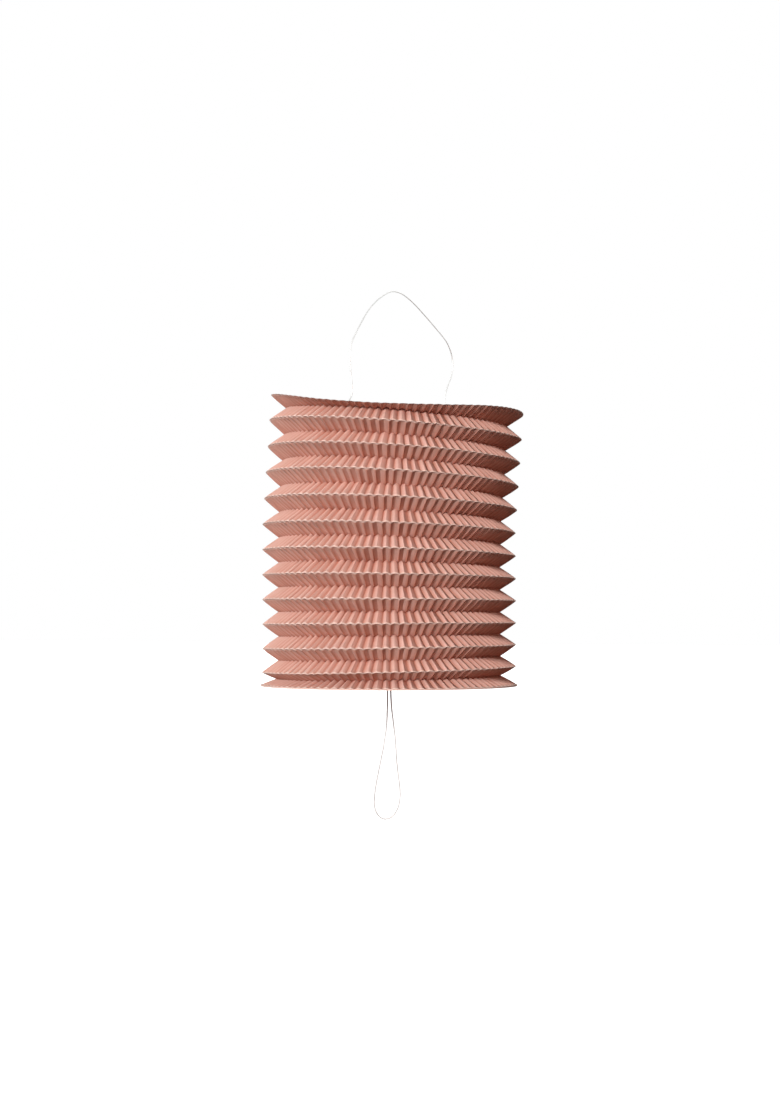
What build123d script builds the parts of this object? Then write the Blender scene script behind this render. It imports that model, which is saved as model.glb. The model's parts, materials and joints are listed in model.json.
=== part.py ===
from build123d import *

import os
from math import atan2, cos, degrees, pi, radians, sin, tan

# Accordion paper lantern. One sheet of pleated paper makes a bellows between a card ring at the
# top and a card disc at the bottom. A wire handle is hooked into two ears of the ring, a string
# loop hangs from the disc, and a tin holder for a candle stands on the disc.
#
# Millimetres, +Z up. The origin is the point under the top of the handle from which the lantern
# hangs, +X runs along the handle's pivot axis, and the top ring is centred on the Z axis. The
# bellows hangs a little askew: its upper pleats lean over to meet the ring.

# ---- paper bellows ------------------------------------------------------------------------
crest_radius = 80.0  # outer folds
valley_radius = 68.8  # inner folds
pleat_count = 12  # full pleats from the free top edge to the bottom edge
top_pitch = 16.2  # height of the first pleat: the paper's own weight opens it most
pitch_drop = 0.19  # each pleat below is this much lower
last_pitch = 9.6  # the last pleat is pressed flatter by the disc
paper = 0.2  # sheet thickness
fold_gap = 0.2  # between two pleats, at the inner fold that joins them
lean = 5.2  # the free top edge is this far to one side of the bottom disc
lean_height = 78.0  # the lean is taken up over this height, from the top edge down
lean_angle = -60.0  # direction of the lean, from +X

# ---- handle -------------------------------------------------------------------------------
handle_rise = 72.5  # from the free top edge of the paper to the hang point
pivot_drop = 7.0  # pivot axis below the free top edge
wire_radius = 0.4
wire_bend = 1.2  # bend radius of the hooks, to the middle of the wire
pin_clearance = 0.08  # between the wire and its hole in the ear
hook_reach = 3.0  # from the ear to the turned-up end of the wire
hook_rise = 2.0  # height of the turned-up end
leg_inset = 2.0  # from the ear to the leg of the handle

# ---- card ring and disc -------------------------------------------------------------------
card = 0.8
ring_gap = 0.25  # between the ring and the inner fold that it stiffens
ring_width = 12.4
ear_inset = 5.4  # middle of the ears, in from the ring's edge
ear_width = 7.0
ear_margin = 1.3  # card above the pivot hole
ear_corner = 1.6
disc_overhang = 1.0  # the disc stands proud of the outer folds

# ---- pull loop ----------------------------------------------------------------------------
string_radius = 0.55
strand_gap = 0.8  # between the two strands in their hole
string_hole_clearance = 0.4  # around the two strands
string_start = 0.05  # the strands begin this far under the middle of the disc
loop_angle = -60.0  # direction of the loop's plane, from +X
knot_overlap = 0.8  # the knot is this much wider than its hole, all round
knot_clearance = 1.1  # between the knot and the cup's floor above it

# ---- candle holder ------------------------------------------------------------------------
tin = 0.5
candle_radius = 6.6  # inside of the cup
cup_depth = 12.0
dish_radius = 17.0
dish_lip = 2.5
prong_radius = 12.0  # middle of the prongs, from the axis
prong_width = 3.0
prong_fold = 4.0  # length folded flat under the disc
prong_clearance = 0.15

# ---- heights that follow ------------------------------------------------------------------
pitches = [top_pitch - pitch_drop * k for k in range(pleat_count - 1)] + [last_pitch]
rim_z = -handle_rise
crest_z = [rim_z - sum(pitches[:k]) for k in range(pleat_count + 1)]
valley_z = [(crest_z[k] + crest_z[k + 1]) / 2 for k in range(pleat_count)]
pivot_z = rim_z - pivot_drop
ring_z = valley_z[0]  # middle of the card ring
disc_top = crest_z[-1]
disc_z = disc_top - card / 2  # middle of the disc
ring_outer = valley_radius - ring_gap - paper
ear_radius = ring_outer - ear_inset
strand = string_radius + strand_gap / 2  # from the middle of the hole to a strand
string_hole_radius = strand + string_radius + string_hole_clearance
knot_radius = string_hole_radius + knot_overlap
knot_height = 1.6 * knot_radius  # the rest of the ball is pulled flat on the disc


def lean_at(z):
    """How far the bellows' middle is to one side of the disc's middle at height z."""
    return lean * max(0.0, 1 - (rim_z - z) / lean_height)


def centre_at(z):
    """The bellows' middle at height z, measured from the middle of the top ring."""
    aside = lean_at(z) - lean_at(ring_z)
    return aside * cos(radians(lean_angle)), aside * sin(radians(lean_angle))


disc_x, disc_y = centre_at(disc_top)

os.makedirs("parts", exist_ok=True)


def keep(builder, name):
    """Label a finished piece and write it out."""
    builder.part.label = name
    export_step(builder.part, f"parts/{name}.step")


def paper_band(name, folds):
    """A ring of pleated paper. folds gives the (radius, height) of each fold, from the top down."""
    (radius_a, z_a), (radius_b, z_b) = folds[:2]
    slope = atan2(z_a - z_b, abs(radius_a - radius_b))
    across = paper / 2 / sin(slope)  # half the sheet, measured along the radius
    with BuildPart() as band:
        for grow, mode in ((across, Mode.ADD), (-across, Mode.SUBTRACT)):
            for radius, z in folds:
                with BuildSketch(Plane((*centre_at(z), z))):
                    Circle(radius + grow)
            loft(ruled=True, mode=mode)
    keep(band, name)


def tangent_radii(points, share=0.45):
    """For each corner of a route, the largest arc that leaves straight runs beside it."""
    radii = []
    for before, corner, after in zip(points, points[1:], points[2:]):
        run_in = Vector(corner) - Vector(before)
        run_out = Vector(after) - Vector(corner)
        half_turn = radians(run_in.get_angle(run_out)) / 2
        radii.append(share * min(run_in.length, run_out.length) / tan(half_turn))
    return radii


def round_bar(points, radii, radius):
    """A round bar swept along straight runs joined by arcs. Returns its part and its length."""
    with BuildPart() as bar:
        with BuildLine() as path:
            FilletPolyline(*points, radius=radii)
        start = Plane(origin=path.wire() @ 0, z_dir=path.wire() % 0)
        with BuildSketch(start):
            Circle(radius)
        sweep(path=path.wire())
    return bar, path.wire().length


# ---- bellows: the sheet is cut into bands at its inner folds, so that each can move -------
half_gap = fold_gap / 2
paper_band("rim_panel_top", [(crest_radius, rim_z), (valley_radius, valley_z[0] + half_gap)])
for k in range(1, pleat_count):
    upper_fold = (valley_radius, valley_z[k - 1] - half_gap)
    lower_fold = (valley_radius, valley_z[k] + half_gap)
    paper_band(f"pleat_{k:02d}", [upper_fold, (crest_radius, crest_z[k]), lower_fold])
paper_band(
    "rim_panel_bottom", [(valley_radius, valley_z[-1] - half_gap), (crest_radius, disc_top)]
)

# ---- top ring: flat card with two ears folded up for the handle ---------------------------
ear_base = ring_z - card / 2
ear_top = pivot_z + wire_radius + ear_margin
with BuildPart() as top_ring:
    with BuildSketch(Plane.XY.offset(ring_z - card / 2)):
        Circle(ring_outer)
        Circle(ring_outer - ring_width, mode=Mode.SUBTRACT)
    extrude(amount=card)
    for side in (-1, 1):
        with BuildSketch(Plane.YZ.offset(side * ear_radius - card / 2)) as ear:
            with Locations((0, (ear_base + ear_top) / 2)):
                Rectangle(ear_width, ear_top - ear_base)
            fillet(ear.vertices().group_by(Axis.Z)[-1], ear_corner)
            with Locations((0, pivot_z)):
                Circle(wire_radius + pin_clearance, mode=Mode.SUBTRACT)
        extrude(amount=card)
keep(top_ring, "top_ring")

# ---- wire handle: hand-bent arch, its ends pushed out through the ears and turned up ------
pin_end = ear_radius + hook_reach
leg_foot = ear_radius - leg_inset
left_hook = [(-pin_end, pivot_z + hook_rise), (-pin_end, pivot_z), (-leg_foot, pivot_z)]
right_hook = [(leg_foot, pivot_z), (pin_end, pivot_z), (pin_end, pivot_z + hook_rise)]
# the arch between the legs' feet: side of the axis as a share of the feet's distance from it,
# and height above the pivot as a share of the height of the arch
arch = [
    (-0.905, 0.080),
    (-0.889, 0.122),
    (-0.910, 0.234),
    (-0.932, 0.324),
    (-0.938, 0.415),
    (-0.900, 0.500),
    (-0.782, 0.612),
    (-0.581, 0.782),
    (-0.350, 0.908),
    (-0.105, 0.994),
    (0.100, 1.003),
    (0.307, 0.969),
    (0.467, 0.927),
    (0.709, 0.855),
    (0.960, 0.775),
    (1.132, 0.714),
    (1.236, 0.629),
    (1.268, 0.526),
    (1.222, 0.428),
    (1.130, 0.335),
    (1.064, 0.242),
    (1.075, 0.160),
]
arch_height = handle_rise + pivot_drop + wire_radius
arch_points = [(leg_foot * side, pivot_z + arch_height * height) for side, height in arch]
handle_points = [(x, 0, z) for x, z in left_hook + arch_points + right_hook]
handle_radii = tangent_radii(handle_points)
for corner in (0, 1, -2, -1):
    handle_radii[corner] = wire_bend
wire_handle, handle_length = round_bar(handle_points, handle_radii, wire_radius)
keep(wire_handle, "wire_handle")

# ---- bottom disc: card with a hole for the string and two slits for the holder's prongs ---
with BuildPart() as bottom_disc:
    with BuildSketch(Plane((disc_x, disc_y, disc_top - card))):
        Circle(crest_radius + disc_overhang)
        Circle(string_hole_radius, mode=Mode.SUBTRACT)
        with Locations((-prong_radius, 0), (prong_radius, 0)):
            Rectangle(
                tin + 2 * prong_clearance, prong_width + 2 * prong_clearance, mode=Mode.SUBTRACT
            )
    extrude(amount=card)
keep(bottom_disc, "bottom_disc")

# ---- candle holder: a pressed tin cup and drip dish, held by two prongs bent under the disc
cup_outer = candle_radius + tin
cup_floor = disc_top + knot_height + knot_clearance
cup_rim = cup_floor + tin + cup_depth
prong_length = card + 2 * tin
with BuildPart() as candle_holder:
    with BuildSketch(Plane(origin=(disc_x, disc_y, 0), x_dir=(1, 0, 0), z_dir=(0, -1, 0))):
        with BuildLine():
            Polyline(
                (0, cup_floor),
                (candle_radius, cup_floor),
                (candle_radius, disc_top),
                (dish_radius, disc_top),
                (dish_radius, disc_top + dish_lip),
                (dish_radius - tin, disc_top + dish_lip),
                (dish_radius - tin, disc_top + tin),
                (cup_outer, disc_top + tin),
                (cup_outer, cup_rim),
                (candle_radius, cup_rim),
                (candle_radius, cup_floor + tin),
                (0, cup_floor + tin),
                close=True,
            )
        make_face()
    revolve(axis=Axis((disc_x, disc_y, 0), (0, 0, 1)))
    for side in (-1, 1):
        with Locations((disc_x + side * prong_radius, disc_y, disc_top + tin)):
            Box(tin, prong_width, prong_length, align=(Align.CENTER, Align.CENTER, Align.MAX))
        fold_middle = disc_x + side * (prong_radius + (prong_fold - tin) / 2)
        with Locations((fold_middle, disc_y, disc_top - card)):
            Box(prong_fold, prong_width, tin, align=(Align.CENTER, Align.CENTER, Align.MAX))
keep(candle_holder, "candle_holder")

# ---- pull loop: both ends of one string come down through the disc ------------------------
# the loop's route: side of its middle, and drop below the middle of the disc
loop_route = [
    (-strand, string_start),
    (-1.0, 11.4),
    (-1.5, 25.6),
    (-3.6, 39.6),
    (-6.3, 52.4),
    (-8.5, 63.6),
    (-9.7, 72.8),
    (-8.7, 80.4),
    (-4.2, 84.8),
    (1.4, 83.9),
    (5.7, 78.2),
    (7.2, 69.4),
    (6.0, 58.8),
    (4.6, 47.6),
    (4.1, 36.0),
    (2.7, 24.2),
    (1.1, 11.2),
    (strand, string_start),
]
loop_side = Vector(1, 0, 0).rotate(Axis.Z, loop_angle)
loop_plane = Plane(origin=(disc_x, disc_y, disc_z), x_dir=loop_side, z_dir=(0, 0, 1))
loop_points = [loop_plane.from_local_coords(Vector(side, 0, -drop)) for side, drop in loop_route]
loop_radii = tangent_radii(loop_points)
pull_loop, loop_length = round_bar(loop_points, loop_radii, string_radius)
keep(pull_loop, "pull_loop")

# ---- the knot that stops the string above the disc ----------------------------------------
with BuildPart() as string_knot:
    with Locations((disc_x, disc_y, disc_top + knot_height - knot_radius)):
        Sphere(knot_radius)
    split(bisect_by=Plane.XY.offset(disc_top), keep=Keep.TOP)
keep(string_knot, "string_knot")

string_section = pi * string_radius**2
wire_section = pi * wire_radius**2
first_slope = degrees(atan2(rim_z - valley_z[0], crest_radius - valley_radius))
print(f"bellows {rim_z - disc_top:.2f} mm high, first panel {first_slope:.1f} degrees from level")
print("loop radii", " ".join(f"{r:.1f}" for r in loop_radii))
print(f"loop length {loop_length:.1f} mm, volume {pull_loop.part.volume / string_section:.1f} sections")
print(f"wire length {handle_length:.1f} mm, volume {wire_handle.part.volume / wire_section:.1f} sections")
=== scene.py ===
# %% [markdown]
# # A pleated paper lantern
#
# The lantern is one sheet of crimped paper, folded like an accordion and glued into a tube. It
# hangs from a bent wire, a card ring holds its top open, and a card disc with a string loop
# closes the bottom. The construction comes from the frame: every size and place below is read
# from it or worked out from it. This script adds the looks: crimped paper, card, wire, tin and
# twisted cotton. All lengths are in metres.

import json
from math import cos, pi, radians, sin, sqrt, tau

import bmesh
import bpy
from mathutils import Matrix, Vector

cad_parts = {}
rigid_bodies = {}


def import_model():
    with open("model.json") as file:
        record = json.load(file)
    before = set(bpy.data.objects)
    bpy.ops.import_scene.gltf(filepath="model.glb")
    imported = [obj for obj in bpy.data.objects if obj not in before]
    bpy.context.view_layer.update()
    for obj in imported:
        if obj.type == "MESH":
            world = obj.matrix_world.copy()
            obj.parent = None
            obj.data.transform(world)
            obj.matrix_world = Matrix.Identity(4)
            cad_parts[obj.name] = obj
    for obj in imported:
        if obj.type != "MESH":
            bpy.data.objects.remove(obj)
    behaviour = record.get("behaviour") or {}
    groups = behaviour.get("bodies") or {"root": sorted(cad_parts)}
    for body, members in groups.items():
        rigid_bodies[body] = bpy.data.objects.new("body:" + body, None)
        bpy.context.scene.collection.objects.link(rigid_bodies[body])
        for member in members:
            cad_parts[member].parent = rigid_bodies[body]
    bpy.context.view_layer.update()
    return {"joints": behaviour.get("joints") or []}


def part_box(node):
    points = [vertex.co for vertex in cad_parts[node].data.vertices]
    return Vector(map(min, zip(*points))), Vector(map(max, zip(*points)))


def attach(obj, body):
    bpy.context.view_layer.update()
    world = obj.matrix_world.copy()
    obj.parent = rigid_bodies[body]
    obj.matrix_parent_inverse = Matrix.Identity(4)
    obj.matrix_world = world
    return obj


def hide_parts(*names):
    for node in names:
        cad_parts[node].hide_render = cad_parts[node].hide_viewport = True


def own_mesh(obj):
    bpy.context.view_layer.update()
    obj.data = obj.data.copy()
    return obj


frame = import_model()
MM = 0.001

# %% [markdown]
# ## Where everything is
#
# The bellows is a stack of folds. Each fold is a circle with a middle, a height and a radius, and
# each band of paper runs from an inner fold out to a crest and back to the next inner fold. The
# crest of a band is the height that its joint keeps in place, and the inner folds lie halfway
# between the ends of neighbouring bands.

# %% Read the folds from the frame
joints = {joint["name"]: joint for joint in frame["joints"]}
band_joint = {
    held["node"]: held["fixed_end_z_m"]
    for joint in frame["joints"]
    for held in joint.get("deforming_nodes", [])
}
pleats = sorted(node for node in band_joint if node.startswith("pleat_"))
bands = ["rim_panel_top", *pleats, "rim_panel_bottom"]


def box_middle(node):
    """The middle of a node's box, seen from above."""
    low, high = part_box(node)
    return (low.xy + high.xy) / 2


def box_radius(node):
    low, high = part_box(node)
    return (high.x - low.x) / 2


rim_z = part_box("rim_panel_top")[1].z
disc_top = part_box("bottom_disc")[1].z
crests = [Vector((*box_middle(bands[0]), rim_z))]
crests += [Vector((*box_middle(node), band_joint[node])) for node in pleats]
crests += [Vector((*box_middle(bands[-1]), disc_top))]
valleys = []
for upper, lower in zip(bands, bands[1:]):
    number = len(valleys)
    height = (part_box(upper)[0].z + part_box(lower)[1].z) / 2
    middle = (crests[number] + crests[number + 1]) / 2
    valleys.append(Vector((middle.x, middle.y, height)))
ring_z = band_joint["rim_panel_top"]
ring_radius = box_radius("top_ring")
crest_radius = 80 * MM
valley_radius = 68.8 * MM
paper_thickness = 0.2 * MM
print(len(crests), "crests and", len(valleys), "inner folds, from", rim_z, "down to", disc_top)

# %% [markdown]
# ## The camera
#
# The lantern is seen from eye level, a little below the middle of the bellows, so we look up at
# the free top edge. `across` points to the right in the picture and `away` points into it. The
# camera is set first, because everything after it is judged through it.

# %% Camera
camera_turn = radians(-60)  # direction of the picture's right-hand side, from +X
across = Vector((cos(camera_turn), sin(camera_turn), 0))
away = Vector((-across.y, across.x, 0))
camera_distance = 1.08
eye_height = -210.6 * MM
aim_height = -166.1 * MM
aim_aside = -4.1 * MM

camera_data = bpy.data.cameras.new("camera")
camera_data.sensor_fit = "VERTICAL"
camera_data.sensor_height = 24
camera_data.lens = 37
camera = bpy.data.objects.new("camera", camera_data)
bpy.context.scene.collection.objects.link(camera)
aim = across * aim_aside + Vector((0, 0, aim_height))
eye = across * aim_aside - away * camera_distance + Vector((0, 0, eye_height))
camera.location = eye
camera.rotation_euler = (aim - eye).to_track_quat("-Z", "Y").to_euler()
bpy.context.scene.camera = camera
print("camera at", [round(value, 3) for value in eye])

# %% [markdown]
# ## Node trees written as expressions
#
# Materials and geometry trees are both made of nodes. Wired by hand, `1 - mask * 0.4` is a dozen
# lines that nobody can read back. A small class holds one output socket, and Python's operators
# on it add the Math nodes, so the formulas below read like formulas. Every other node comes from
# its one method `node`.

# %% The socket class
class Wire:
    """One output of a node tree. Arithmetic on it adds Math nodes to the tree."""

    def __init__(self, tree, socket=None):
        self.tree = tree
        self.socket = socket

    def node(self, kind, settings=None, inputs=None, output=0):
        """Add a node: its settings first, then values or Wires for its inputs."""
        made = self.tree.nodes.new(kind)
        for name, value in (settings or {}).items():
            setattr(made, name, value)
        usable = [socket for socket in made.inputs if socket.enabled]
        for key, value in (inputs or {}).items():
            by_name = [socket for socket in usable if socket.name == key]
            target = usable[key] if isinstance(key, int) else by_name[0]
            if isinstance(value, Wire):
                self.tree.links.new(value.socket, target)
            else:
                target.default_value = value
        results = [socket for socket in made.outputs if socket.enabled]
        named = [socket for socket in results if socket.name == output]
        return Wire(self.tree, named[0] if named else results[output])

    def math(self, operation, *values):
        inputs = dict(enumerate((self, *values)))
        return self.node("ShaderNodeMath", {"operation": operation}, inputs)

    def vector(self, operation, *values, output=0):
        inputs = dict(enumerate((self, *values)))
        return self.node("ShaderNodeVectorMath", {"operation": operation}, inputs, output)

    def __add__(self, other):
        return self.math("ADD", other)

    __radd__ = __add__

    def __mul__(self, other):
        return self.math("MULTIPLY", other)

    __rmul__ = __mul__

    def __sub__(self, other):
        return self.math("SUBTRACT", other)

    def __rsub__(self, other):
        return self.node("ShaderNodeMath", {"operation": "SUBTRACT"}, {0: other, 1: self})

    def __truediv__(self, other):
        return self.math("DIVIDE", other)

    def __pow__(self, other):
        return self.math("POWER", other)

    def clamped(self, low, high):
        return self.math("MAXIMUM", low).math("MINIMUM", high)


def combine(wire, x, y, z):
    return wire.node("ShaderNodeCombineXYZ", None, {0: x, 1: y, 2: z})


# %% [markdown]
# ## The pull loop
#
# A cotton string hangs from the disc in a long narrow loop, about eighteen centimetres of it. Its
# middle line is a NURBS spline through a handful of given points, in the same places as in
# the construction. Real string is three strands twisted together, and the twist is what the eye
# picks up, so each strand is its own thin tube that winds round the middle line.

# %% The string's middle line
disc_middle = Vector((*box_middle("bottom_disc"), (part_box("bottom_disc")[0].z + disc_top) / 2))
string_diameter = 1.1 * MM
string_lay = 3.6 * MM  # a strand winds round once over this length
# side of the loop's middle, and drop below the middle of the disc, in millimetres
loop_points = [
    (-0.95, 0.05),
    (-1.0, 11.4),
    (-1.5, 25.6),
    (-3.6, 39.6),
    (-6.3, 52.4),
    (-8.5, 63.6),
    (-9.7, 72.8),
    (-8.7, 80.4),
    (-4.2, 84.8),
    (1.4, 83.9),
    (5.7, 78.2),
    (7.2, 69.4),
    (6.0, 58.8),
    (4.6, 47.6),
    (4.1, 36.0),
    (2.7, 24.2),
    (1.1, 11.2),
    (0.95, 0.05),
]


def middle_line(name, points):
    """The points of a smooth NURBS line through the neighbourhood of a few given points."""
    data = bpy.data.curves.new(name, "CURVE")
    data.dimensions = "3D"
    data.resolution_u = 24
    spline = data.splines.new("NURBS")
    spline.points.add(len(points) - 1)
    for made, place in zip(spline.points, points):
        made.co = (*place, 1)
    spline.order_u = 3
    spline.use_endpoint_u = True
    line = bpy.data.objects.new(name, data)
    bpy.context.scene.collection.objects.link(line)
    mesh = bpy.data.meshes.new_from_object(line)
    found = [vertex.co.copy() for vertex in mesh.vertices]
    bpy.data.objects.remove(line)
    bpy.data.meshes.remove(mesh)
    return found


def run_length(points):
    return sum((b - a).length for a, b in zip(points, points[1:]))


loop_route = [
    disc_middle + across * side * MM - Vector((0, 0, drop * MM)) for side, drop in loop_points
]
loop_line = middle_line("loop_line", loop_route)


# %% Strands wound round a line
def link(name, mesh, material=None):
    """Put a finished mesh into the scene as an object of that name."""
    piece = bpy.data.objects.new(name, mesh)
    bpy.context.scene.collection.objects.link(piece)
    if material:
        mesh.materials.append(material)
    return piece


def even_points(line, step):
    """Points every step along a line, with the first and the last kept."""
    count = max(2, round(run_length(line) / step))
    wanted = [run_length(line) * k / count for k in range(count + 1)]
    found, done, index = [], 0.0, 0
    for distance in wanted:
        while index < len(line) - 2 and done + (line[index + 1] - line[index]).length < distance:
            done += (line[index + 1] - line[index]).length
            index += 1
        span = line[index + 1] - line[index]
        share = min(1.0, max(0.0, (distance - done) / span.length))
        found.append(line[index] + span * share)
    return found


def twisted_string(name, line, diameter, lay, strands=3, sides=8):
    """A string of a few strands. lay is the length over which a strand winds round once."""
    pressed_together = 1.08
    steps_per_lay = 14
    strand_radius = diameter / 2 / (1 + 1 / sin(pi / strands)) * pressed_together
    wind_radius = diameter / 2 - strand_radius
    step = lay / steps_per_lay
    middle = even_points(line, step)
    vertices, faces = [], []
    tangents = [
        (middle[min(k + 1, len(middle) - 1)] - middle[max(k - 1, 0)]).normalized()
        for k in range(len(middle))
    ]
    side = away.copy()
    for strand in range(strands):
        first = len(vertices)
        for k, (place, tangent) in enumerate(zip(middle, tangents)):
            side = (side - tangent * side.dot(tangent)).normalized()
            other = tangent.cross(side)
            turn = tau * (k * step / lay + strand / strands)
            out = side * cos(turn) + other * sin(turn)
            around = tangent.cross(out)
            centre = place + out * wind_radius
            for corner in range(sides):
                angle = tau * corner / sides
                offset = out * cos(angle) + around * sin(angle)
                vertices.append(centre + offset * strand_radius)
        rings = len(middle)
        for ring in range(rings - 1):
            for corner in range(sides):
                a = first + ring * sides + corner
                b = first + ring * sides + (corner + 1) % sides
                faces.append((a, b, b + sides, a + sides))
        faces.append(tuple(first + corner for corner in reversed(range(sides))))
        faces.append(tuple(first + (rings - 1) * sides + corner for corner in range(sides)))
    mesh = bpy.data.meshes.new(name)
    mesh.from_pydata(vertices, [], faces)
    mesh.polygons.foreach_set("use_smooth", [True] * len(mesh.polygons))
    return mesh


string_mesh = twisted_string("string_loop", loop_line, string_diameter, string_lay)
string_loop = link("string_loop", string_mesh)
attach(string_loop, "loop")
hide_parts("pull_loop")
print(len(string_mesh.polygons), "faces in the string")

# %% [markdown]
# ## The pleated paper
#
# Before it was folded, the sheet was crimped: fine flutes run up it from the bottom edge to the
# top edge, ninety-four of them round the tube. At an inner fold the flutes are squeezed together
# and stand deep, and at a crest they are pulled nearly flat. That is a rule, so Geometry Nodes
# build it. One tree makes one band of the bellows: a circle is swept round a closed line to get
# a tube of paper with two sides, and then every point is placed by a formula. Bands that share a
# fold are given the same fold, so they meet exactly.
#
# Each fold is a circle that may be tilted, because the lantern hangs a little crooked.

# %% Helpers for a geometry tree
def new_tree(name, sockets):
    """A geometry tree with named inputs, given as (name, type, default)."""
    tree = bpy.data.node_groups.new(name, "GeometryNodeTree")
    for label, kind, default in sockets:
        made = tree.interface.new_socket(label, in_out="INPUT", socket_type=kind)
        if default is not None:
            made.default_value = default
    tree.interface.new_socket("Geometry", in_out="OUTPUT", socket_type="NodeSocketGeometry")
    entry = tree.nodes.new("NodeGroupInput")
    wires = {socket.name: Wire(tree, socket) for socket in entry.outputs if socket.name}
    return tree, Wire(tree), wires


def finish_tree(tree, geometry):
    leave = tree.nodes.new("NodeGroupOutput")
    tree.links.new(geometry.socket, leave.inputs[0])


def grown(name, tree, values, material):
    """Run a geometry tree on an empty mesh and keep the result as a plain mesh."""
    carrier = link(name, bpy.data.meshes.new(name))
    modifier = carrier.modifiers.new("tree", "NODES")
    modifier.node_group = tree
    sockets = {s.name: s.identifier for s in tree.interface.items_tree if s.in_out == "INPUT"}
    for label, value in {**values, "Material": material}.items():
        modifier[sockets[label]] = value
    evaluated = carrier.evaluated_get(bpy.context.evaluated_depsgraph_get())
    mesh = bpy.data.meshes.new_from_object(evaluated)
    carrier.modifiers.remove(modifier)
    carrier.data = mesh
    return carrier


# %% The tree that makes one band
FLOAT, VECTOR, INT = "NodeSocketFloat", "NodeSocketVector", "NodeSocketInt"
band_inputs = [("Material", "NodeSocketMaterial", None)]
for fold in ("Upper", "Crest", "Lower"):
    band_inputs += [
        (f"{fold} Middle", VECTOR, None),
        (f"{fold} Radius", FLOAT, valley_radius),
        (f"{fold} Tilt", VECTOR, None),
    ]
band_inputs += [
    ("From", FLOAT, 0.0),
    ("To", FLOAT, 2.0),
    ("Half Sheet", FLOAT, 0.17 * MM),
    ("Flutes", INT, 94),
    ("Points Per Flute", INT, 10),
    ("Rows", INT, 17),
    ("Inner Depth", FLOAT, 1.4 * MM),
    ("Crest Depth", FLOAT, 0.35 * MM),
    ("Wobble", FLOAT, 0.3 * MM),
    ("Droop", FLOAT, 0.0),
    ("Droop Direction", VECTOR, None),
]
band_tree, g, given = new_tree("pleated band", band_inputs)


def stored(name):
    """A number stored on the points before."""
    return g.node("GeometryNodeInputNamedAttribute", {"data_type": "FLOAT"}, {"Name": name})


def store(geometry, name, value):
    """Store a number on every point under a name."""
    return g.node(
        "GeometryNodeStoreNamedAttribute",
        {"data_type": "FLOAT", "domain": "POINT"},
        {"Geometry": geometry, "Name": name, "Value": value},
    )


def circle(points, radius):
    inputs = {"Resolution": points, "Radius": radius}
    return g.node("GeometryNodeCurvePrimitiveCircle", None, inputs)


# the closed line round the lantern, and the closed section of the sheet
index = g.node("GeometryNodeInputIndex")
around_count = given["Flutes"] * given["Points Per Flute"]
around = store(circle(around_count, 1.0), "turn", index / around_count)
section = store(circle(given["Rows"] * 2, 0.1), "row", index + 0.0)
tube = g.node("GeometryNodeCurveToMesh", None, {"Curve": around, "Profile Curve": section})

# where a point is on the sheet: which side of it, and how far from fold to fold
turn = stored("turn")
row = stored("row")
last_row = given["Rows"] - 1.0
inner_side = row.math("GREATER_THAN", last_row + 0.5)
outer_share = row / last_row
inner_share = (given["Rows"] * 2.0 - 1.0 - row) / last_row
share = outer_share + (inner_share - outer_share) * inner_side
side = 1.0 - inner_side * 2.0
# run goes from -1 at the upper inner fold, past 0 at the crest, to 1 at the lower inner fold.
# Rows crowd together at the crest, where the sheet turns over in a small round.
row_crowding = 0.7
fold_round = 0.035
run = given["From"] - 1.0 + (given["To"] - given["From"]) * share
place = run * run.math("ABSOLUTE") ** row_crowding
crease = (place * place + fold_round**2) ** 0.5
crease = (crease - fold_round) / (sqrt(1 + fold_round**2) - fold_round)
crest_weight = 1.0 - crease
upper_weight = crease * place.math("LESS_THAN", 0.0)
lower_weight = crease - upper_weight


def scaled(vector, factor):
    return g.node("ShaderNodeVectorMath", {"operation": "SCALE"}, {0: vector, "Scale": factor})


def part_of(vector, letter):
    return g.node("ShaderNodeSeparateXYZ", None, {0: vector}, letter)


def blended(of_fold):
    """What of_fold says of each of the three folds, blended by how near they are."""
    upper, crest, lower = of_fold("Upper"), of_fold("Crest"), of_fold("Lower")
    return upper * upper_weight + crest * crest_weight + lower * lower_weight


def blended_vector(label):
    letters = [blended(lambda fold: part_of(given[f"{fold} {label}"], letter)) for letter in "XYZ"]
    return combine(g, *letters)


middle = blended_vector("Middle")
tilt = blended_vector("Tilt")
radius = blended(lambda fold: given[f"{fold} Radius"])

# direction from the middle; each flute is a little wider or narrower than the next
plain_angle = turn * tau
plain = combine(g, plain_angle.math("COSINE"), plain_angle.math("SINE"), 0.0)
NOISE = "ShaderNodeTexNoise"
jitter_scale = 30.0
jitter_turn = 0.025  # radians
jitter = g.node(NOISE, None, {"Vector": plain, "Scale": jitter_scale, "Detail": 0.0}) - 0.5
angle = plain_angle + jitter * jitter_turn
direction = combine(g, angle.math("COSINE"), angle.math("SINE"), 0.0)

# flutes: crowns with nearly flat sides, that meet in sharp furrows
mean_rise = 0.57  # of a flute, taken off so that it swings about the fold's own height
flute_turn = turn * given["Flutes"] + 0.0001  # keeps a furrow's points in the next flute
phase = flute_turn.math("FRACT")
flute_number = flute_turn.math("FLOOR")
rounded = (phase * pi).math("SINE")
ridged = 1.0 - (phase * 2.0 - 1.0).math("ABSOLUTE")
flute = rounded * 0.5 + ridged * 0.5 - mean_rise


to_mm = 1000.0


def fold_random(fold):
    """A random number for each flute at a fold; bands that share the fold get the same."""
    height = part_of(given[f"{fold} Middle"], "Z")
    key = combine(g, flute_number, height * to_mm, 1.0)
    return g.node("ShaderNodeTexWhiteNoise", {"noise_dimensions": "3D"}, {"Vector": key}, "Value")


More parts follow.
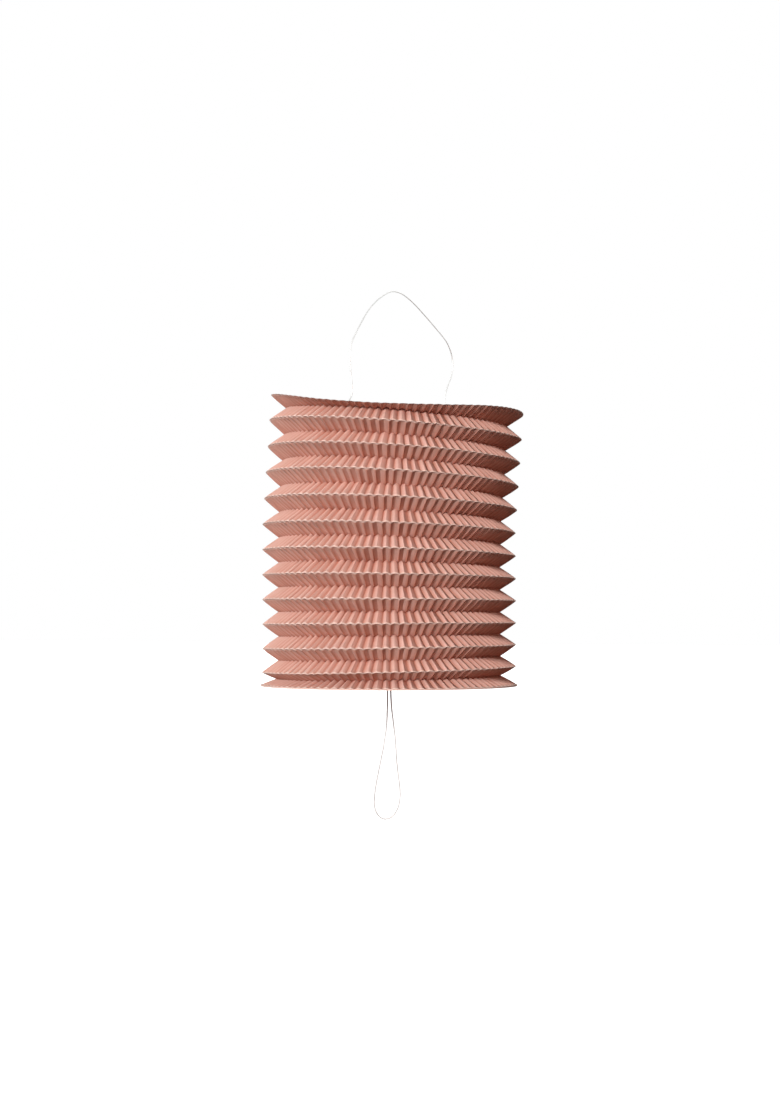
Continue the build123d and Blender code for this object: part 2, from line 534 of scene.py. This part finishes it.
least_depth, depth_spread = 0.82, 0.36  # a flute's depth, as a share of the usual one
pulled_flat = crest_weight**3.0
depth = given["Inner Depth"] * (1.0 - pulled_flat) + given["Crest Depth"] * pulled_flat
flute_rise = flute * depth * (least_depth + blended(fold_random) * depth_spread)

# the folds aren't perfect circles: they wander up and down, in and out
wander_by_height = 40.0
wander_scale = 3.0
height_offset = combine(g, 0.0, 0.0, part_of(middle, "Z") * wander_by_height)
wander_inputs = {
    "Vector": direction.vector("ADD", height_offset),
    "Scale": wander_scale,
    "Detail": 2.0,
}
wander = g.node(NOISE, None, wander_inputs, "Color")
wander = wander.vector("SUBTRACT", (0.5, 0.5, 0.5))

# the free top edge droops on one side
toward = direction.vector("DOT_PRODUCT", given["Droop Direction"], output="Value")
droop = given["Droop"] * (toward.math("MAXIMUM", 0.0) ** 2.0) * crest_weight

reach = radius + side * given["Half Sheet"] + part_of(wander, "X") * given["Wobble"] * 2.0
tilt_rise = direction.vector("DOT_PRODUCT", tilt, output="Value") * reach
rise = tilt_rise + flute_rise + part_of(wander, "Y") * given["Wobble"] * 2.0 - droop
lift = combine(g, 0.0, 0.0, rise)
position = middle.vector("ADD", scaled(direction, reach)).vector("ADD", lift)

tube = store(tube, "fold_share", crest_weight)
# the same flute stands out on the band's upper face and sinks in on its lower face
faces_down = place.math("GREATER_THAN", 0.0)
relief = (ridged - 0.5) * (1.0 - faces_down * 2.0)
tube = store(tube, "flute_ridge", ridged)
tube = store(tube, "flute_relief", relief)
tube = g.node("GeometryNodeSetPosition", None, {"Geometry": tube, "Position": position})
for spent in ("turn", "row"):
    tube = g.node("GeometryNodeRemoveAttribute", None, {"Geometry": tube, "Name": spent})

# smooth paper, with a sharp line where two faces meet at more than the furrow angle
SMOOTH = "GeometryNodeSetShadeSmooth"
furrow_angle = radians(32)
tube = g.node(SMOOTH, {"domain": "FACE"}, {"Geometry": tube, "Shade Smooth": True})
edge_angle = g.node("GeometryNodeInputMeshEdgeAngle", None, None, "Unsigned Angle")
furrow = edge_angle.math("GREATER_THAN", furrow_angle)
sharp_edges = {"Geometry": tube, "Selection": furrow, "Shade Smooth": False}
tube = g.node(SMOOTH, {"domain": "EDGE"}, sharp_edges)
tube = g.node("GeometryNodeRealizeInstances", None, {"Geometry": tube})
tube = g.node("GeometryNodeSetMaterial", None, {"Geometry": tube, "Material": given["Material"]})
finish_tree(band_tree, tube)
print(len(band_tree.nodes), "nodes in the band's tree")

# %% [markdown]
# ## Paper
#
# The paper is a dusty pink, dyed through, with a dry matt face. Up close it isn't even: fibres
# make it a little cloudy, and the crest folds have a paler line, partly rubbed wear and partly a
# painted highlight. Painted shade darkens the furrows and a painted highlight lightens the flute
# crowns. The attributes that the tree stored say how far a point is from a fold and where it
# is in its flute, so the material can follow the folding exactly.

# %% A helper for materials
def new_material(name, roughness, specular=0.5, metallic=0.0):
    """An empty principled material. Returns it, a Wire to build on, and its shader node."""
    material = bpy.data.materials.new(name)
    material.use_nodes = True
    shader = material.node_tree.nodes["Principled BSDF"]
    shader.inputs["Roughness"].default_value = roughness
    shader.inputs["Specular IOR Level"].default_value = specular
    shader.inputs["Metallic"].default_value = metallic
    return material, Wire(material.node_tree), shader


def plug(wire, shader, name):
    wire.tree.links.new(wire.socket, shader.inputs[name])


def mixed(wire, factor, first, second):
    """A colour mix of two colours, each a Wire or (red, green, blue)."""
    ends = [c if isinstance(c, Wire) else (*c, 1) for c in (first, second)]
    inputs = {"Factor": factor, "A": ends[0], "B": ends[1]}
    return wire.node("ShaderNodeMix", {"data_type": "RGBA"}, inputs)


def noise(wire, vector, scale, detail=2.0, roughness=0.5):
    inputs = {"Vector": vector, "Scale": scale, "Detail": detail, "Roughness": roughness}
    return wire.node("ShaderNodeTexNoise", None, inputs)


def bump(wire, height, distance, strength=1.0, normal=None):
    inputs = {"Strength": strength, "Distance": distance, "Height": height}
    if normal:
        inputs["Normal"] = normal
    return wire.node("ShaderNodeBump", None, inputs)


def object_place(wire):
    return wire.node("ShaderNodeTexCoord", None, None, "Object")


def attribute(wire, name):
    return wire.node("ShaderNodeAttribute", {"attribute_name": name}, None, "Fac")


# %% Pleated paper
paper_pink = (0.62, 0.35, 0.285)
paper_pale = (0.84, 0.64, 0.56)
paper_deep = (0.46, 0.16, 0.10)


def make_paper():
    material, w, shader = new_material("pleated_paper", roughness=0.85, specular=0.25)
    place = object_place(w)
    fold = attribute(w, "fold_share")
    ridge = attribute(w, "flute_ridge")
    relief = attribute(w, "flute_relief")
    cloud = noise(w, place, scale=60.0, detail=3.0)
    fibre = noise(w, place, scale=1400.0, detail=4.0, roughness=0.7)
    colour = mixed(w, (cloud - 0.45).clamped(0.0, 0.3), paper_pink, paper_deep)
    colour = mixed(w, (fibre - 0.55).clamped(0.0, 0.3), colour, paper_pale)
    furrow = (1.0 - ridge * 2.2).clamped(0.0, 1.0)
    crown = (ridge * 2.0 - 1.0).clamped(0.0, 1.0)
    # painted shade: the furrows are darkened, more strongly towards the inner folds
    colour = mixed(w, furrow * (0.8 - 0.3 * fold), colour, paper_deep)
    # painted highlight: the crowns of the flutes are lightened
    colour = mixed(w, crown * 0.22, colour, paper_pale)
    # the crest folds are paler: partly rubbed wear, partly a painted highlight where the fold
    # catches the light
    crest = ((fold - 0.9) / 0.06).clamped(0.0, 1.0)
    crest_wear_and_highlight = crest * (0.5 + 0.6 * noise(w, place, scale=220.0, detail=2.0))
    colour = mixed(w, crest_wear_and_highlight.clamped(0.0, 1.0), colour, paper_pale)
    plug(colour, shader, "Base Color")
    plug(0.8 + 0.16 * fibre, shader, "Roughness")
    flutes = bump(w, relief * (0.3 + 0.7 * fold) * (1.0 - crest), distance=1.3 * MM)
    grain = bump(w, fibre, distance=0.02 * MM, strength=0.5, normal=flutes)
    unevenness = noise(w, place, scale=260.0, detail=2.0)
    surface = bump(w, unevenness, distance=0.12 * MM, strength=0.5, normal=grain)
    plug(surface, shader, "Normal")
    return material


paper = make_paper()
print("paper has", len(paper.node_tree.nodes), "nodes")

# %% Tilt of the folds
# The lantern hangs a little crooked. Its left side, as the camera sees it, rides high at the top
# and low near the bottom, and the uppermost folds also lean back. The disc hangs level.
left, up = -across, Vector((0, 0, 1))
top_slope = 0.084
slope_change = -0.115
lean_back = 0.046
lean_back_reach = 0.2  # share of the bellows' height
level_reach = 0.05


def fold_tilt(z):
    """The slope of a fold at height z, as a flat vector towards its high side."""
    down = max(0.0, (ring_z - z) / (ring_z - disc_top))
    slope = left * (top_slope + slope_change * down)
    back = away * lean_back * max(0.0, 1 - down / lean_back_reach)
    return (slope + back) * min(1.0, (1 - down) / level_reach)


def fold_values(label, fold, radius):
    return {f"{label} Middle": fold, f"{label} Radius": radius, f"{label} Tilt": fold_tilt(fold.z)}


# %% The thirteen bands
body_of_band = {"rim_panel_top": "top", "rim_panel_bottom": "bottom"}
rim_droop = 9.5 * MM
droop_turn = radians(13)  # from the camera's side, to the left
droop_side = left * sin(droop_turn) - away * cos(droop_turn)


def band_values(number):
    """The folds of a band, counted from the free top edge, and the share of it that exists.

    The first band is only the lower half of a pleat and the last one only the upper half.
    """
    top, bottom = number == 0, number == len(bands) - 1
    crest = crests[number]
    upper = crest if top else valleys[number - 1]
    lower = crest if bottom else valleys[number]
    other = lower if top else upper
    slope = abs(other.z - crest.z) / (crest_radius - valley_radius)
    values = {
        **fold_values("Upper", upper, valley_radius),
        **fold_values("Crest", crest, crest_radius),
        **fold_values("Lower", lower, valley_radius),
        "From": 1.0 if top else 0.0,
        "To": 1.0 if bottom else 2.0,
        "Rows": 9 if top or bottom else 17,
        "Half Sheet": paper_thickness / 2 * sqrt(1 + 1 / slope**2),
        "Crest Depth": 0.25 * MM if top or bottom else 0.35 * MM,
        "Droop": rim_droop if top else 0.0,
        "Droop Direction": droop_side,
    }
    if top:
        values["Crest Tilt"] = values["Upper Tilt"] = left * top_slope
    return values


paper_pieces = []
for number, node in enumerate(bands):
    piece = grown(f"paper_{node}", band_tree, band_values(number), paper)
    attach(piece, body_of_band.get(node, node))
    anchor = ring_z if node == "rim_panel_top" else crests[number].z
    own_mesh(piece)
    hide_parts(node)
    paper_pieces.append(piece)
print(sum(len(piece.data.polygons) for piece in paper_pieces), "faces of paper")

# %% [markdown]
# ## The ring, its ears, and the small parts
#
# The card ring follows the tilt of the uppermost folds, so it is a flat ring with a hole that is
# tipped with them. Its two ears stand straight up and take the ends of the wire, so they stay
# their own piece: they must not shrink when the paper folds up. Both are flat outlines, drawn as
# 2-D curves, filled and given the card's thickness.

# %% Card, wire, tin and cotton
card_grey = (0.30, 0.265, 0.225)
card_dark = (0.22, 0.19, 0.16)
cotton_white = (0.88, 0.88, 0.87)
cotton_shade = (0.76, 0.75, 0.73)
steel_light = (0.72, 0.72, 0.71)
steel_dull = (0.52, 0.52, 0.51)
tin_light = (0.66, 0.66, 0.64)
tin_dull = (0.40, 0.39, 0.36)


def make_card(name, light, dark):
    """Board: pressed fibres with darker flecks."""
    material, w, shader = new_material(name, roughness=0.9, specular=0.2)
    place = object_place(w)
    fibre = noise(w, place, scale=900.0, detail=4.0, roughness=0.65)
    fleck = noise(w, place, scale=420.0, detail=2.0)
    colour = mixed(w, fibre.clamped(0.3, 0.7), dark, light)
    colour = mixed(w, ((fleck - 0.64) * 8.0).clamped(0.0, 0.7), colour, dark)
    plug(colour, shader, "Base Color")
    plug(0.78 + 0.2 * fibre, shader, "Roughness")
    plug(bump(w, fibre, distance=0.04 * MM, strength=0.6), shader, "Normal")
    return material


def make_wire():
    """Galvanised wire: a dull skin with brighter, smoother patches where it has been handled."""
    material, w, shader = new_material("steel_wire", roughness=0.45, metallic=1.0)
    place = object_place(w)
    patch = noise(w, place, scale=160.0, detail=3.0)
    scratch = noise(w, place, scale=1800.0, detail=2.0)
    colour = mixed(w, patch.clamped(0.3, 0.7), steel_dull, steel_light)
    plug(colour, shader, "Base Color")
    plug(0.34 + 0.3 * patch, shader, "Roughness")
    plug(bump(w, scratch, distance=0.01 * MM, strength=0.4), shader, "Normal")
    return material


def make_tin():
    """Thin tinplate with faint rolling lines and a few duller patches."""
    material, w, shader = new_material("tin", roughness=0.3, metallic=1.0)
    place = object_place(w)
    stretched = place.vector("MULTIPLY", (1.0, 1.0, 0.06))
    rolling = noise(w, stretched, scale=1500.0, detail=2.0)
    dull = noise(w, place, scale=90.0, detail=4.0)
    colour = mixed(w, ((dull - 0.45) * 4.0).clamped(0.0, 1.0), tin_light, tin_dull)
    plug(colour, shader, "Base Color")
    plug(0.22 + 0.35 * dull, shader, "Roughness")
    plug(bump(w, rolling, distance=0.01 * MM, strength=0.4), shader, "Normal")
    return material


def make_cotton():
    """White cotton yarn: fine fibres, a little greyer where the noise says it was handled."""
    material, w, shader = new_material("cotton", roughness=0.95, specular=0.1)
    place = object_place(w)
    fibre = noise(w, place, scale=2600.0, detail=3.0, roughness=0.7)
    handled = noise(w, place, scale=70.0, detail=2.0)
    colour = mixed(w, ((handled - 0.45) * 3.0).clamped(0.0, 0.5), cotton_white, cotton_shade)
    colour = mixed(w, fibre.clamped(0.35, 0.65) - 0.35, colour, cotton_shade)
    plug(colour, shader, "Base Color")
    plug(0.85 + 0.12 * fibre, shader, "Roughness")
    plug(bump(w, fibre, distance=0.05 * MM, strength=0.7), shader, "Normal")
    return material


card = make_card("card", card_grey, card_dark)
pink_card = make_card("pink_card", paper_pale, paper_pink)
steel_wire, tin, cotton = make_wire(), make_tin(), make_cotton()
string_loop.data.materials.append(cotton)
for node, material in {
    "wire_handle": steel_wire,
    "bottom_disc": pink_card,
    "candle_holder": tin,
    "string_knot": cotton,
}.items():
    for slot in bpy.data.objects[node].material_slots:
        slot.material = material
print("materials:", ", ".join(material.name for material in bpy.data.materials))


# %% The ring and its ears
def flat_mesh(name, outlines, thickness):
    """A sheet with the given 2-D outlines, centred on its middle plane; inner ones are holes."""
    data = bpy.data.curves.new(name, "CURVE")
    data.dimensions = "2D"
    data.fill_mode = "BOTH"
    data.extrude = thickness / 2
    for outline in outlines:
        spline = data.splines.new("POLY")
        spline.points.add(len(outline) - 1)
        for made, (x, y) in zip(spline.points, outline):
            made.co = (x, y, 0, 1)
        spline.use_cyclic_u = True
    flat = bpy.data.objects.new(name, data)
    bpy.context.scene.collection.objects.link(flat)
    mesh = bpy.data.meshes.new_from_object(flat)
    bpy.data.objects.remove(flat)
    return mesh


def round_outline(radius, count, middle=(0.0, 0.0)):
    turns = [tau * k / count for k in range(count)]
    return [(middle[0] + radius * cos(t), middle[1] + radius * sin(t)) for t in turns]


card_thickness = 0.8 * MM
ring_width = 12.4 * MM
pivot_z = joints["handle_swing"]["pos_m"][2]
ear_width = 7 * MM
ear_corner = 1.6 * MM
ear_aside = 62.95 * MM
ear_hole = 0.48 * MM
round_points = 180
hole_points = 16
corner_steps = 6

ring_outline = round_outline(ring_radius, round_points)
ring_hole = round_outline(ring_radius - ring_width, round_points)
ring_mesh = flat_mesh("ring_card", [ring_outline, ring_hole], card_thickness)
for vertex in ring_mesh.vertices:
    vertex.co.z += ring_z + fold_tilt(ring_z).dot(vertex.co)
ring_card = link("ring_card", ring_mesh, card)
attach(ring_card, "top")
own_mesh(ring_card)

# an ear seen from the side: across is the picture of +Y, and up is +Z
ear_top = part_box("top_ring")[1].z
half = ear_width / 2
ear_outline = [(-half, ring_z), (half, ring_z)]
for side, first in ((1, 0.0), (-1, 0.25)):
    centre = (side * (half - ear_corner), ear_top - ear_corner)
    for k in range(corner_steps + 1):
        angle = tau * (first + 0.25 * k / corner_steps)
        corner_y = centre[0] + ear_corner * cos(angle)
        corner_z = centre[1] + ear_corner * sin(angle)
        ear_outline.append((corner_y, corner_z))
pin_hole = round_outline(ear_hole, hole_points, (0, pivot_z))
ear_mesh = flat_mesh("ring_ears", [ear_outline, pin_hole], card_thickness)
stand = bmesh.new()
for side in (1, -1):
    first = len(stand.verts)
    stand.from_mesh(ear_mesh)
    stand.verts.ensure_lookup_table()
    for vertex in stand.verts[first:]:
        y, z, x = vertex.co
        vertex.co = (side * ear_aside + x, y, z)
stand.to_mesh(ear_mesh)
stand.free()
ring_ears = link("ring_ears", ear_mesh, card)
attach(ring_ears, "top")
for piece in (ring_card, ring_ears):
    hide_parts("top_ring")
print("ring at", round(ring_z / MM, 2), "mm, ears up to", round(ear_top / MM, 2), "mm")

# %% [markdown]
# ## Floor and light
#
# The lantern hangs in a plain bright room, lit by sun lamps with wide discs. The key light comes
# from the front left and a softer one from the left. Weaker ones come from above, from behind
# and, very weakly, from below. A warm fill from the front right makes the shaded side red, as
# light does that has been through the paper. The floor glows a plain white. The floor and the
# sky stay out of the bounced light, so that the undersides of the pleats stay deep.

# %% Stage
def sun(name, strength, colour, toward, angle):
    """A sun lamp. toward points from the lantern to the lamp, and angle is its width in degrees."""
    data = bpy.data.lights.new(name, "SUN")
    data.energy = strength
    data.color = colour
    data.angle = radians(angle)
    lamp = bpy.data.objects.new(name, data)
    lamp.rotation_euler = Vector(toward).to_track_quat("Z", "Y").to_euler()
    bpy.context.scene.collection.objects.link(lamp)


white, warm, rosy = (1, 1, 1), (1, 0.5, 0.37), (1, 0.85, 0.8)
sun("key", 2.85, white, -away * 0.93 + left * 0.4 + up * 0.26, 15)
sun("side", 1.5, white, -away * 0.3 + left * 0.95 + up * 0.15, 35)
sun("top", 0.6, white, -away * 0.6 + left * 0.1 + up * 0.8, 40)
sun("fill", 0.65, warm, -away + across * 0.6 + up * 0.02, 40)
sun("back", 1.0, white, away + across * 0.5 + up * 0.7, 60)
sun("floor", 0.25, rosy, away * 0.1 - up, 90)

world = bpy.data.worlds.new("sky")
world.use_nodes = True
sky = world.node_tree.nodes["Background"]
sky.inputs["Color"].default_value = (*white, 1)
sky.inputs["Strength"].default_value = 1.0
world.cycles_visibility.diffuse = False
bpy.context.scene.world = world
bpy.context.scene.view_settings.view_transform = "Standard"

floor_z = -1.4
floor_half = 80.0
floor_mesh = bpy.data.meshes.new("floor")
corners = [(-1, -1), (1, -1), (1, 1), (-1, 1)]
floor_points = [(x * floor_half, y * floor_half, floor_z) for x, y in corners]
floor_mesh.from_pydata(floor_points, [], [(0, 1, 2, 3)])
floor_material, _, shader = new_material("floor_white", roughness=0.9, specular=0.0)
shader.inputs["Base Color"].default_value = (0.93, 0.93, 0.93, 1)
shader.inputs["Emission Strength"].default_value = 1.0
floor = link("floor", floor_mesh, floor_material)
floor.visible_diffuse = False
floor.visible_glossy = False
print("floor at", floor_z)
